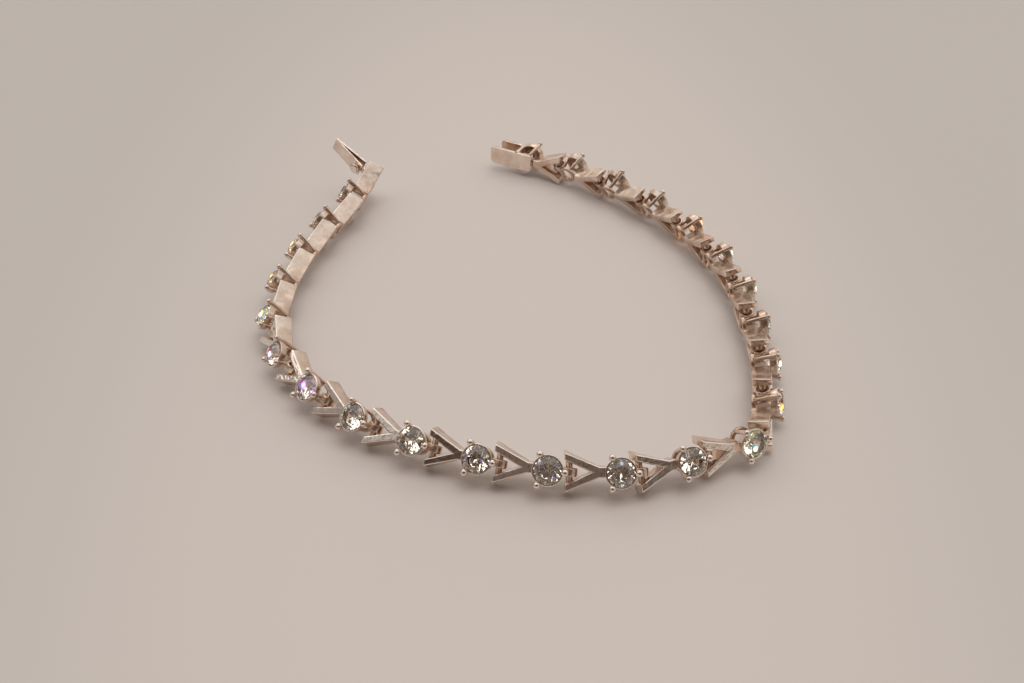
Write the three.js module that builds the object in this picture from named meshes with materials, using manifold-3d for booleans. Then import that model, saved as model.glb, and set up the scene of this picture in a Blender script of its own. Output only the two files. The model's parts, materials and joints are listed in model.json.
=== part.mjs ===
// Tennis bracelet: 24 cast links, each a V of two arms with a cross bar, a claw setting with a
// round stone, and a knuckle that holds the next link's bar. A box clasp ends the chain at one
// end, and its hinged tongue at the other. Millimetres, +Z up, the band lying on its edge.
//
// A link's own frame: X runs along the chain from the link's cross bar, Z across the band, and Y
// towards the inside of the loop, so the stone looks out along -Y.

import * as THREE from 'three';
import { mergeVertices } from 'three/addons/utils/BufferGeometryUtils.js';
import Module from 'manifold-3d';

const wasm = await Module();
wasm.setup();

// Driving dimensions of a link
const PITCH = 7.2;
const LINK_DEPTH = 2.2;
const ARM_OVERHANG = 0.5;
const ARM_WIDTH = 0.75;
const ARM_FRONT_SPREAD = 4.0;
const SIDE_DRAFT = 0.25;
const SHOULDER_DRAFT = 0.15;
const SHOULDER_LENGTH = 1.15;
const CROTCH_REACH = 2.25;
const STEM_WIDTH = 1.1;
const BAR_DIAMETER = 0.7;
const BAR_CLEARANCE = 0.2;
const KNUCKLE_WALL = 0.3;
const KNUCKLE_WIDTH = 0.85;

// Driving dimensions of the setting and its stone
const STONE_DIAMETER = 2.85;
const STONE_TO_BAR = 2.05;
const CROWN_HEIGHT = 0.42;
const GIRDLE_HEIGHT = 0.1;
const PAVILION_HEIGHT = 1.15;
const TABLE_SHARE = 0.58;
const STONE_SIDES = 10;
const TABLE_STAND = 1.2;
const SEAT_GAP = 0.06;
const SEAT_WALL = 0.16;
const SEAT_HEIGHT = 0.75;
const BASE_RING_OUTER = 1.25;
const BASE_RING_WALL = 0.45;
const BASE_RING_HEIGHT = 0.5;
const CLAW_DIAMETER = 0.46;
const CLAW_TIP_DIAMETER = 0.72;
const CLAW_COUNT = 3;
const RING_SIDES = 10;
const BAR_SIDES = 8;
const CLAW_SIDES = 5;
const KNOB_SIDES = 12;

// Driving dimensions of the clasp
const BOX_REACH = 5.3;
const BOX_DEPTH = 2.8;
const BOX_WIDTH = 2.5;
const BOX_FRONT_SHORTER = 0.5;
const BOX_WALL = 0.45;
const BOX_BRIDGE = 0.5;
const TONGUE_LENGTH = 5.2;
const TONGUE_SHIFT = 0.75;
const TONGUE_CLEARANCE = 0.2;
const TONGUE_WIDTH = 1.9;
const TONGUE_THICKNESS = 0.4;
const SPRING_RISE = 1.1;
const KNOB_DIAMETER = 1.4;
const KNOB_HEIGHT = 0.6;
const TONGUE_OPEN_ANGLE = 78;

// The lie of the chain on the table, link by link from the tongue's end: the heading of the link
// seen from above, and how far its stone is tipped up from the level. The first link alone also
// slopes, with its free end raised.
const FIRST_LINK_SLOPE = 9;
const ROUTE = [
  { heading: -108, lean: 28 },
  { heading: -114, lean: 26 },
  { heading: -107, lean: 30 },
  { heading: -100, lean: 31 },
  { heading: -86, lean: 34 },
  { heading: -67, lean: 35 },
  { heading: -50, lean: 43 },
  { heading: -39, lean: 44 },
  { heading: -27, lean: 45 },
  { heading: -19, lean: 40 },
  { heading: -10, lean: 38 },
  { heading: 0, lean: 38 },
  { heading: 19, lean: 36 },
  { heading: 28, lean: 24 },
  { heading: 79, lean: 14 },
  { heading: 84, lean: 10 },
  { heading: 93, lean: 8 },
  { heading: 95, lean: 9 },
  { heading: 109, lean: 11 },
  { heading: 116, lean: 15 },
  { heading: 127, lean: 23 },
  { heading: 136, lean: 28 },
  { heading: 140, lean: 18 },
  { heading: 151, lean: 0 },
];

// Sizes that follow from the driving dimensions
const FACE = LINK_DEPTH / 2;
const BAR_RADIUS = BAR_DIAMETER / 2;
const EYE_RADIUS = BAR_RADIUS + BAR_CLEARANCE;
const KNUCKLE_RADIUS = EYE_RADIUS + KNUCKLE_WALL;
const STONE_X = PITCH - STONE_TO_BAR;
const STONE_RADIUS = STONE_DIAMETER / 2;
const TABLE_Y = -(FACE + TABLE_STAND);
const GIRDLE_Y = TABLE_Y + CROWN_HEIGHT;
const CULET_Y = GIRDLE_Y + GIRDLE_HEIGHT + PAVILION_HEIGHT;
const SEAT_RADIUS = STONE_RADIUS + SEAT_GAP;
const SEAT_OUTER = SEAT_RADIUS + SEAT_WALL;
const CLAW_RADIUS = CLAW_DIAMETER / 2;
const CLAW_TIP_RADIUS = CLAW_TIP_DIAMETER / 2;
const CLAW_REACH = SEAT_RADIUS + CLAW_TIP_RADIUS;
const degrees = THREE.MathUtils.degToRad;

const silver = { color: 0xc9bdb4, roughness: 0.28, metalness: 1.0 };
const stoneLook = { color: 0xdfe3e4, roughness: 0.03, metalness: 0.0 };

// A closed mesh as a solid that can be joined and cut
function solidOf(geometry) {
  const bare = geometry.clone();
  bare.deleteAttribute('normal');
  bare.deleteAttribute('uv');
  const merged = mergeVertices(bare, 1e-4);
  return new wasm.Manifold(new wasm.Mesh({
    numProp: 3,
    vertProperties: new Float32Array(merged.attributes.position.array),
    triVerts: new Uint32Array(merged.index.array),
  }));
}

function geometryOf(solid) {
  const mesh = solid.getMesh();
  const geometry = new THREE.BufferGeometry();
  geometry.setAttribute('position', new THREE.BufferAttribute(mesh.vertProperties, 3));
  geometry.setIndex(new THREE.BufferAttribute(mesh.triVerts, 1));
  geometry.computeVertexNormals();
  return geometry;
}

function joined(solids) {
  return solids.reduce((whole, next) => whole.add(next));
}

function namedMesh(name, geometry, look) {
  const mesh = new THREE.Mesh(geometry, new THREE.MeshStandardMaterial(look));
  mesh.name = name;
  return mesh;
}

// A prism between two outlines in X and Z with as many points each: the front one at frontY and
// the back one at backY, which lies further in
function lofted(frontOutline, backOutline, frontY, backY) {
  const shape = new THREE.Shape(frontOutline.map(([x, z]) => new THREE.Vector2(x, z)));
  const geometry = new THREE.ExtrudeGeometry(shape, { depth: backY - frontY, bevelEnabled: false });
  const position = geometry.attributes.position;
  for (let i = 0; i < position.count; i += 1) {
    const x = position.getX(i);
    const z = position.getY(i);
    const atBack = position.getZ(i) > 0;
    const corner = frontOutline.findIndex(([u, v]) => Math.hypot(u - x, v - z) < 1e-5);
    const [newX, newZ] = atBack ? backOutline[corner] : frontOutline[corner];
    position.setXYZ(i, newX, atBack ? backY : frontY, newZ);
  }
  // Swapping two axes mirrors the shape, so each triangle is turned round again
  for (let i = 0; i < position.count; i += 3) {
    const second = new THREE.Vector3().fromBufferAttribute(position, i + 1);
    const third = new THREE.Vector3().fromBufferAttribute(position, i + 2);
    position.setXYZ(i + 1, third.x, third.y, third.z);
    position.setXYZ(i + 2, second.x, second.y, second.z);
  }
  return solidOf(geometry);
}

// A closed ring about the stone's axis, from a profile of [radius, y] points
function turned(profile, sides) {
  const points = [...profile, profile[0]].map(([radius, y]) => new THREE.Vector2(radius, y));
  const geometry = new THREE.LatheGeometry(points, sides, Math.PI / sides);
  return solidOf(geometry);
}

// The two arms and the stem of the V. Its sides are drafted: at the back they stand further out,
// most of all at the free ends by the cross bar.
function armsOf() {
  const freeEnd = -ARM_OVERHANG;
  const halfSpread = ARM_FRONT_SPREAD / 2;
  const halfStem = STEM_WIDTH / 2;
  const stemStart = CROTCH_REACH + ARM_WIDTH;
  const stemEnd = STONE_X - SEAT_RADIUS + SEAT_WALL;
  const shoulder = freeEnd + SHOULDER_LENGTH;
  const slope = (halfSpread - halfStem) / (stemStart - freeEnd);
  const frontAtShoulder = halfSpread - slope * SHOULDER_LENGTH;
  const innerHalf = halfSpread - ARM_WIDTH;
  const outline = (draftEnd, draftShoulder, draftStem) => [
    [freeEnd, halfSpread + draftEnd],
    [shoulder, frontAtShoulder + draftShoulder],
    [stemStart, halfStem + draftStem],
    [stemEnd, halfStem],
    [stemEnd, -halfStem],
    [stemStart, -halfStem - draftStem],
    [shoulder, -frontAtShoulder - draftShoulder],
    [freeEnd, -halfSpread - draftEnd],
    [freeEnd, -innerHalf],
    [CROTCH_REACH, 0],
    [freeEnd, innerHalf],
  ];
  const backOutline = outline(SIDE_DRAFT, SHOULDER_DRAFT, 0);
  return lofted(outline(0, 0, 0), backOutline, -FACE, FACE);
}

function crossBar() {
  const reach = ARM_FRONT_SPREAD - ARM_WIDTH;
  const bar = new THREE.CylinderGeometry(BAR_RADIUS, BAR_RADIUS, reach, BAR_SIDES);
  bar.rotateX(Math.PI / 2);
  return solidOf(bar);
}

// The eye round the next link's cross bar
function knuckleAt(x) {
  const ring = new THREE.Shape();
  ring.absarc(0, 0, KNUCKLE_RADIUS, 0, 2 * Math.PI);
  const eye = new THREE.Path();
  eye.absarc(0, 0, EYE_RADIUS, 0, 2 * Math.PI, true);
  ring.holes.push(eye);
  const options = { depth: KNUCKLE_WIDTH, bevelEnabled: false, curveSegments: RING_SIDES / 2 };
  const geometry = new THREE.ExtrudeGeometry(ring, options);
  geometry.translate(x, 0, -KNUCKLE_WIDTH / 2);
  return solidOf(geometry);
}

// One claw, turned about its own axis, from the base ring up past the girdle to its round tip
// beside the table
function clawAt(angle) {
  const foot = new THREE.Vector3(BASE_RING_OUTER - CLAW_RADIUS, FACE - BASE_RING_HEIGHT / 2, 0);
  const tip = new THREE.Vector3(CLAW_REACH, TABLE_Y + CLAW_TIP_RADIUS / 2, 0);
  const length = foot.distanceTo(tip);
  const profile = [
    [0, 0],
    [CLAW_RADIUS, 0],
    [CLAW_RADIUS, length - CLAW_TIP_RADIUS],
    [CLAW_TIP_RADIUS, length],
    [CLAW_TIP_RADIUS / 2, length + CLAW_TIP_RADIUS],
    [0, length + CLAW_TIP_RADIUS],
  ].map(([radius, height]) => new THREE.Vector2(radius, height));
  const geometry = new THREE.LatheGeometry(profile, CLAW_SIDES);
  const up = new THREE.Vector3(0, 1, 0);
  const along = tip.clone().sub(foot).normalize();
  geometry.applyQuaternion(new THREE.Quaternion().setFromUnitVectors(up, along));
  geometry.translate(foot.x, foot.y, foot.z);
  geometry.rotateY(-angle);
  return solidOf(geometry);
}

// The open claw setting: a base ring, a seat ring under the girdle, and the claws between them
function settingOf() {
  const baseInner = BASE_RING_OUTER - BASE_RING_WALL;
  const baseRing = turned([
    [baseInner, FACE - BASE_RING_HEIGHT],
    [BASE_RING_OUTER, FACE - BASE_RING_HEIGHT],
    [BASE_RING_OUTER, FACE],
    [baseInner, FACE],
  ], RING_SIDES);
  const seatTop = GIRDLE_Y + GIRDLE_HEIGHT;
  const seatBottom = seatTop + SEAT_HEIGHT;
  const narrowing = (SEAT_HEIGHT * STONE_RADIUS) / PAVILION_HEIGHT;
  const seatRing = turned([
    [SEAT_RADIUS, seatTop],
    [SEAT_OUTER, seatTop],
    [SEAT_OUTER - SEAT_WALL, seatBottom],
    [SEAT_RADIUS - narrowing, seatBottom],
  ], RING_SIDES);
  const claws = [];
  for (let i = 0; i < CLAW_COUNT; i += 1) {
    claws.push(clawAt((2 * Math.PI * i) / CLAW_COUNT));
  }
  return joined([baseRing, seatRing, ...claws]).translate(STONE_X, 0, 0);
}

// The round cut stone about its own axis: table, crown, girdle and pointed pavilion
function stoneGeometry() {
  const profile = [
    [0, CULET_Y],
    [STONE_RADIUS, GIRDLE_Y + GIRDLE_HEIGHT],
    [STONE_RADIUS, GIRDLE_Y],
    [STONE_RADIUS * TABLE_SHARE, TABLE_Y],
    [0, TABLE_Y],
  ];
  const points = profile.map(([radius, y]) => new THREE.Vector2(radius, y)).reverse();
  return new THREE.LatheGeometry(points, STONE_SIDES);
}

// The box of the clasp: two plates joined by a bridge beside the setting and open at the far end.
// The back plate carries the setting, and the front plate is the shorter one.
function boxOf() {
  const start = STONE_X + BASE_RING_OUTER - CLAW_RADIUS;
  const end = STONE_X + BOX_REACH;
  const half = BOX_DEPTH / 2;
  const sheet = (fromX, toX, fromY, toY) => {
    const plate = new THREE.BoxGeometry(toX - fromX, toY - fromY, BOX_WIDTH);
    plate.translate((fromX + toX) / 2, (fromY + toY) / 2, 0);
    return solidOf(plate);
  };
  const front = sheet(start + CLAW_DIAMETER, end - BOX_FRONT_SHORTER, -half, -half + BOX_WALL);
  const back = sheet(STONE_X, end, half - BOX_WALL, half);
  const bridge = sheet(start, start + BOX_BRIDGE, -half + BOX_WALL / 2, half);
  return joined([front, back, bridge]);
}

// The tongue: an eye round the first link's bar, a neck, the flat blade, and the spring leaf bent
// back over the blade, with the thumb knob on its end. The blade is set off towards the band's
// upper edge.
function tongueOf() {
  const neckStart = -EYE_RADIUS - KNUCKLE_WALL / 2;
  const start = -ARM_OVERHANG - FACE + TONGUE_CLEARANCE;
  const end = start - TONGUE_LENGTH;
  const half = TONGUE_THICKNESS / 2;
  const leafTop = -half - SPRING_RISE;
  const outline = [
    [start, half],
    [end, half],
    [end, -half],
    [start, leafTop],
    [start, leafTop + TONGUE_THICKNESS],
    [end + 3 * TONGUE_THICKNESS, -half],
    [start, -half],
  ];
  const shape = new THREE.Shape(outline.map(([x, y]) => new THREE.Vector2(x, y)));
  const blade = new THREE.ExtrudeGeometry(shape, { depth: TONGUE_WIDTH, bevelEnabled: false });
  blade.translate(0, 0, TONGUE_SHIFT - TONGUE_WIDTH / 2);
  const neckLength = neckStart - start + TONGUE_THICKNESS;
  const neck = new THREE.BoxGeometry(neckLength, TONGUE_THICKNESS, KNUCKLE_WIDTH);
  neck.translate(neckStart - neckLength / 2, 0, 0);
  const knobRadius = KNOB_DIAMETER / 2;
  const knob = new THREE.CylinderGeometry(knobRadius, knobRadius, KNOB_HEIGHT, KNOB_SIDES);
  knob.translate(start - knobRadius, leafTop - KNOB_HEIGHT / 2 + TONGUE_THICKNESS, TONGUE_SHIFT);
  return joined([knuckleAt(0), solidOf(blade), solidOf(neck), solidOf(knob)]);
}

// The height of a link's cross bar that puts the lowest corner of its back on the table
function barHeight(lean) {
  const backHalf = ARM_FRONT_SPREAD / 2 + SIDE_DRAFT;
  return FACE * Math.sin(lean) + backHalf * Math.cos(lean);
}

const link = joined([armsOf(), crossBar(), settingOf(), knuckleAt(PITCH)]);
const lastLink = joined([armsOf(), crossBar(), settingOf(), boxOf()]);
const linkGeometry = geometryOf(link);
const lastLinkGeometry = geometryOf(lastLink);
const stone = stoneGeometry();
const tongueGeometry = geometryOf(tongueOf());

const bracelet = new THREE.Group();
const chain = new THREE.Group();
const place = new THREE.Vector2(0, 0);
ROUTE.forEach((row, index) => {
  const number = String(index + 1).padStart(2, '0');
  const heading = degrees(row.heading);
  const lean = degrees(row.lean);
  const isLast = index === ROUTE.length - 1;
  const slope = index === 0 ? degrees(FIRST_LINK_SLOPE) : 0;
  const frame = new THREE.Group();
  frame.position.set(place.x, place.y, barHeight(lean) + PITCH * Math.sin(slope));
  frame.rotation.set(-lean, slope, heading, 'ZYX');
  frame.add(namedMesh(`link_${number}`, isLast ? lastLinkGeometry : linkGeometry, silver));
  const gem = namedMesh(`stone_${number}`, stone, stoneLook);
  gem.position.x = STONE_X;
  frame.add(gem);
  if (index === 0) {
    const tongue = namedMesh('clasp_tongue', tongueGeometry, silver);
    tongue.rotation.z = degrees(TONGUE_OPEN_ANGLE);
    frame.add(tongue);
  }
  chain.add(frame);
  place.x += PITCH * Math.cos(slope) * Math.cos(heading);
  place.y += PITCH * Math.cos(slope) * Math.sin(heading);
});
bracelet.add(chain);

// The origin is on the table below the middle of the whole bracelet
chain.updateMatrixWorld(true);
const extent = new THREE.Box3().setFromObject(chain, true);
const middle = extent.getCenter(new THREE.Vector3());
chain.position.set(-middle.x, -middle.y, -extent.min.z);

export default bracelet;
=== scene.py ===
# Tennis bracelet lying open on its edge: 24 cast links with claw-set clear stones and a box clasp
# whose tongue hangs free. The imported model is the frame, and each section below dresses one kind of
# piece, in the order in which a bracelet is put together. Sizes are in millimetres unless they say
# otherwise, and MM turns them to metres.
import json
import math

import bmesh
import bpy
from mathutils import Euler, Matrix, Vector


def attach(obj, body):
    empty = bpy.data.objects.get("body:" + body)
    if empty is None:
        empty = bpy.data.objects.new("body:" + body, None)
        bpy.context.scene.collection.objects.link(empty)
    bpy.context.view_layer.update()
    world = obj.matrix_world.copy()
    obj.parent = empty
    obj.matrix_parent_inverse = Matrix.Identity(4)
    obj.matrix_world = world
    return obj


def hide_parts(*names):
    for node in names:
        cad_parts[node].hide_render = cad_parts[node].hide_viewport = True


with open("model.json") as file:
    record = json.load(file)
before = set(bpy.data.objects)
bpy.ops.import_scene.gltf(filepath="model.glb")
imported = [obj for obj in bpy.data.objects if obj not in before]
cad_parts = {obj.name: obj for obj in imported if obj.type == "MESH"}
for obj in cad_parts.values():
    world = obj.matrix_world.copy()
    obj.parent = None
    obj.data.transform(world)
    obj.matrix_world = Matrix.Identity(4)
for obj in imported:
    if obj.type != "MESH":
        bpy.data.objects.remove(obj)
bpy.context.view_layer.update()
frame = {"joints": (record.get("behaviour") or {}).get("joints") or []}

# The lie of the chain.
# The links hang on one another by their cross bars. Each lies at its own heading on the table and
# leans back a little, because the stones at the front of the band are the heavier side.
MM = 0.001
PITCH = 7.2
LINK_DEPTH = 2.2
ARM_FRONT_SPREAD = 4.0
SIDE_DRAFT = 0.25
# Degrees: only the first link slopes, down from its bar, and each link has a heading and a lean
FIRST_LINK_SLOPE = 9
ROUTE = [
    (-108, 28), (-114, 26), (-107, 30), (-100, 31), (-86, 34), (-67, 35),
    (-50, 43), (-39, 44), (-27, 45), (-19, 40), (-10, 38), (0, 38),
    (19, 36), (28, 24), (79, 14), (84, 10), (93, 8), (95, 9),
    (109, 11), (116, 15), (127, 23), (136, 28), (140, 18), (151, 0),
]
half_depth = LINK_DEPTH / 2


def link_places(first_bar):
    """The place and turn of each link's cross bar, in metres, from the first one."""
    places = []
    spot = Vector((first_bar[0] / MM, first_bar[1] / MM))
    back_half = ARM_FRONT_SPREAD / 2 + SIDE_DRAFT
    for number, (heading, lean) in enumerate(ROUTE):
        heading, lean = math.radians(heading), math.radians(lean)
        slope = math.radians(FIRST_LINK_SLOPE) if number == 0 else 0.0
        rise = PITCH * math.sin(slope)
        height = half_depth * math.sin(lean) + back_half * math.cos(lean) + rise
        turn = (
            Matrix.Rotation(heading, 4, "Z")
            @ Matrix.Rotation(slope, 4, "Y")
            @ Matrix.Rotation(-lean, 4, "X")
        )
        places.append(Matrix.Translation(Vector((spot.x, spot.y, height)) * MM) @ turn)
        spot += Vector((math.cos(heading), math.sin(heading))) * (PITCH * math.cos(slope))
    return places


places = link_places(frame["joints"][0]["pos_m"])
stations = bpy.data.meshes.new("link_stations")
stations.from_pydata([p.translation for p in places], [], [])
turns = stations.attributes.new("turn", "QUATERNION", "POINT")
for point, place in zip(turns.data, places):
    point.value = place.to_quaternion()


def add_node(tree, kind, settings=(), links=()):
    """Adds a node with its settings, and its inputs as values or as another node's outputs."""
    node = tree.nodes.new(kind)
    for name, value in dict(settings).items():
        setattr(node, name, value)
    for name, value in dict(links).items():
        socket = node.inputs[name]
        if isinstance(value, bpy.types.NodeSocket):
            tree.links.new(value, socket)
        else:
            socket.default_value = value
    return node


def start_tree(name, sockets, result):
    """A Geometry Nodes tree, the identifiers of its named inputs, and what they give."""
    tree = bpy.data.node_groups.new(name, "GeometryNodeTree")
    inputs = {}
    for label, kind in sockets.items():
        socket = tree.interface.new_socket(
            label, in_out="INPUT", socket_type="NodeSocket" + kind
        )
        inputs[label] = socket.identifier
    tree.interface.new_socket(result, in_out="OUTPUT", socket_type="NodeSocketGeometry")
    return tree, inputs, add_node(tree, "NodeGroupInput").outputs


def place_object(name, data):
    """An object at the origin, linked into the scene."""
    made = bpy.data.objects.new(name, data)
    bpy.context.scene.collection.objects.link(made)
    return made


def run_tree(piece, tree, inputs, values):
    """Gives the piece the plain mesh that the tree makes with these values."""
    modifier = piece.modifiers.new(tree.name, "NODES")
    modifier.node_group = tree
    for label, value in values.items():
        modifier[inputs[label]] = value
    ready = piece.evaluated_get(bpy.context.evaluated_depsgraph_get())
    mesh = bpy.data.meshes.new_from_object(ready)
    piece.modifiers.clear()
    piece.data = mesh
    mesh.name = piece.name


# The tree that sets a copy of a pattern piece at each link's cross bar
chain_tree, chain_inputs, given = start_tree("pieces_along_the_chain", {
    "Stations": "Geometry",
    "Pattern piece": "Object",
    "Millimetre": "Float",
    "Wear seed": "Int",
    "Finish": "Material",
    "Front finish": "Material",
}, "Pieces")
pattern = add_node(chain_tree, "GeometryNodeObjectInfo", links={"Object": given["Pattern piece"]})
turned_by = add_node(
    chain_tree, "GeometryNodeInputNamedAttribute", {"data_type": "QUATERNION"}, {"Name": "turn"}
)
copies = add_node(chain_tree, "GeometryNodeInstanceOnPoints", links={
    "Points": given["Stations"],
    "Instance": pattern.outputs["Geometry"],
    "Rotation": turned_by.outputs["Attribute"],
    "Scale": given["Millimetre"],
})
chance = add_node(chain_tree, "FunctionNodeRandomValue", {"data_type": "FLOAT"}, {
    "Seed": given["Wear seed"],
})
worn = add_node(
    chain_tree, "GeometryNodeStoreNamedAttribute", {"data_type": "FLOAT", "domain": "INSTANCE"},
    {"Geometry": copies.outputs["Instances"], "Name": "wear", "Value": chance.outputs[1]},
)
real = add_node(chain_tree, "GeometryNodeRealizeInstances", links={
    "Geometry": worn.outputs["Geometry"],
})
finished = add_node(chain_tree, "GeometryNodeSetMaterial", links={
    "Geometry": real.outputs["Geometry"], "Material": given["Finish"],
})
is_front = add_node(
    chain_tree, "GeometryNodeInputNamedAttribute", {"data_type": "BOOLEAN"}, {"Name": "front"}
)
fronted = add_node(chain_tree, "GeometryNodeSetMaterial", links={
    "Geometry": finished.outputs["Geometry"],
    "Selection": is_front.outputs["Attribute"],
    "Material": given["Front finish"],
})
add_node(chain_tree, "NodeGroupOutput", links={"Pieces": fronted.outputs["Geometry"]})


def along_chain(name, pattern_mesh, finish, front_finish, seed, skip=()):
    """One mesh with a copy of the pattern at each link, apart from the links in skip."""
    points = stations.copy()
    if skip:
        edit = bmesh.new()
        edit.from_mesh(points)
        edit.verts.ensure_lookup_table()
        bmesh.ops.delete(edit, geom=[edit.verts[i] for i in skip], context="VERTS")
        edit.to_mesh(points)
        edit.free()
    holder = place_object(name + "_pattern", pattern_mesh)
    piece = place_object(name, points)
    run_tree(piece, chain_tree, chain_inputs, {
        "Pattern piece": holder,
        "Millimetre": MM,
        "Wear seed": seed,
        "Finish": finish,
        "Front finish": front_finish,
    })
    bpy.data.objects.remove(holder)
    return piece


# Arms of the links.
# Each link starts as a cast V whose two flat arms meet in a short stem. Its front is polished
# bright after plating, and its drafted sides are left satin from the mould.
ARM_OVERHANG = 0.5
ARM_WIDTH = 0.75
SHOULDER_DRAFT = 0.15
SHOULDER_LENGTH = 1.15
CROTCH_REACH = 2.25
STEM_WIDTH = 1.1
STONE_X = 5.15
SEAT_RADIUS = 1.485
SEAT_WALL = 0.16
ARM_EDGE_ROUND = 0.13
# An edge that turns by more than this many degrees is eased
SHARP_EDGE = 25
ROUNDING_STEPS = 3


def linear(hex_colour):
    """An sRGB hex colour as linear red, green, blue and alpha."""
    values = [int(hex_colour[i:i + 2], 16) / 255 for i in (1, 3, 5)]
    return [v / 12.92 if v <= 0.04045 else ((v + 0.055) / 1.055) ** 2.4 for v in values] + [1.0]


def start_material(name):
    """A material with its node tree and its surface shader."""
    made = bpy.data.materials.new(name)
    made.use_nodes = True
    return made, made.node_tree, made.node_tree.nodes["Principled BSDF"]


# Cast brass-based jewellery alloy with a silver plating, polished on a wheel: it mirrors the room
# with a slightly pink cast. It is drawn brown in its hollows, a painted shade, and in random handling
# marks.
HANDLING_MARK = 1.2
WHEEL_WAVE = 0.5
polished_plate, tree, shader = start_material("polished_silver_plate")
spots = add_node(tree, "ShaderNodeTexCoord").outputs["Object"]
cloud = add_node(tree, "ShaderNodeTexNoise", links={
    "Vector": spots, "Scale": 1 / (HANDLING_MARK * MM), "Detail": 3.0, "Roughness": 0.6,
})
# Painted shade: the hollows are drawn browner, along with the random handling marks
recess = add_node(tree, "ShaderNodeAttribute", {"attribute_name": "recess"})
brown = add_node(tree, "ShaderNodeMath", {"operation": "MULTIPLY_ADD", "use_clamp": True}, {
    0: cloud.outputs["Fac"], 1: 0.35, 2: recess.outputs["Fac"],
})
deepened = add_node(tree, "ShaderNodeMapRange", links={
    "Value": brown.outputs[0], "From Min": 0.12, "From Max": 1.1,
})
plating = add_node(tree, "ShaderNodeMix", {"data_type": "RGBA"}, {
    "Factor": deepened.outputs["Result"], 6: linear("#faf2ea"), 7: linear("#cdb49f"),
})
tree.links.new(plating.outputs[2], shader.inputs["Base Color"])
# Tarnish dulls the mirror
# The handling marks and the painted shade in the hollows dull the mirror
dulled = add_node(tree, "ShaderNodeMapRange", links={
    "Value": brown.outputs[0], "To Min": 0.07, "To Max": 0.34,
})
tree.links.new(dulled.outputs["Result"], shader.inputs["Roughness"])
# The wheel leaves a soft waviness
waves = add_node(tree, "ShaderNodeTexNoise", links={
    "Vector": spots, "Scale": 1 / (WHEEL_WAVE * MM), "Detail": 1.0,
})
relief = add_node(tree, "ShaderNodeBump", links={
    "Height": waves.outputs["Fac"], "Strength": 0.26, "Distance": 0.12 * MM,
})
tree.links.new(relief.outputs["Normal"], shader.inputs["Normal"])
shader.inputs["Metallic"].default_value = 1.0

# The same plated alloy as it comes from the mould and the tumbler: a fine grain blurs what it
# mirrors, so its sides read as a soft light beige with blotches where it has tarnished brown. It is
# drawn browner in its hollows too, a painted shade.
TARNISH_BLOTCH = 1.6
WAX_HOLLOW = 1.5
MOULD_GRAIN = 0.15
satin_plate, tree, shader = start_material("satin_cast_plate")
spots = add_node(tree, "ShaderNodeTexCoord").outputs["Object"]
cloud = add_node(tree, "ShaderNodeTexNoise", links={
    "Vector": spots, "Scale": 1 / (TARNISH_BLOTCH * MM), "Detail": 4.0, "Roughness": 0.65,
})
# Painted shade: the hollows are drawn browner, along with the random blotches
recess = add_node(tree, "ShaderNodeAttribute", {"attribute_name": "recess"})
wear = add_node(tree, "ShaderNodeAttribute", {"attribute_name": "wear"})
# Some links are a little browner than others
uneven = add_node(tree, "ShaderNodeMath", {"operation": "MULTIPLY_ADD"}, {
    0: wear.outputs["Fac"], 1: 0.12, 2: recess.outputs["Fac"],
})
brown = add_node(tree, "ShaderNodeMath", {"operation": "MULTIPLY_ADD", "use_clamp": True}, {
    0: cloud.outputs["Fac"], 1: 0.7, 2: uneven.outputs[0],
})
deepened = add_node(tree, "ShaderNodeMapRange", links={
    "Value": brown.outputs[0], "From Min": 0.29, "From Max": 0.64,
})
plating = add_node(tree, "ShaderNodeMix", {"data_type": "RGBA"}, {
    "Factor": deepened.outputs["Result"], 6: linear("#f8ebdf"), 7: linear("#d4baa6"),
})
tree.links.new(plating.outputs[2], shader.inputs["Base Color"])
shader.inputs["Roughness"].default_value = 0.27
# The wax model leaves the sides wavy, and the mould adds a grain that is drawn coarser than the
# real one, which wouldn't show
hollows = add_node(tree, "ShaderNodeTexNoise", links={
    "Vector": spots, "Scale": 1 / (WAX_HOLLOW * MM), "Detail": 1.0,
})
uneven_sides = add_node(tree, "ShaderNodeBump", links={
    "Height": hollows.outputs["Fac"], "Strength": 0.5, "Distance": 0.35 * MM,
})
grain = add_node(tree, "ShaderNodeTexNoise", links={
    "Vector": spots, "Scale": 1 / (MOULD_GRAIN * MM), "Detail": 2.0,
})
relief = add_node(tree, "ShaderNodeBump", links={
    "Height": grain.outputs["Fac"], "Strength": 0.2, "Distance": 0.04 * MM,
    "Normal": uneven_sides.outputs["Normal"],
})
tree.links.new(relief.outputs["Normal"], shader.inputs["Normal"])
shader.inputs["Metallic"].default_value = 1.0


def ease_edges(edit, edges, radius, clamped=False):
    """Rounds edges off by short facets, kept from overlapping if clamped, and gives the facets."""
    return bmesh.ops.bevel(
        edit, geom=edges, offset=radius, segments=ROUNDING_STEPS, profile=0.5, affect="EDGES",
        clamp_overlap=clamped,
    )["faces"]


def sharp_edges(edit):
    """The edges to ease, once all faces look outwards."""
    bmesh.ops.recalc_face_normals(edit, faces=edit.faces)
    return [e for e in edit.edges if e.calc_face_angle(0) > math.radians(SHARP_EDGE)]


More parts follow.
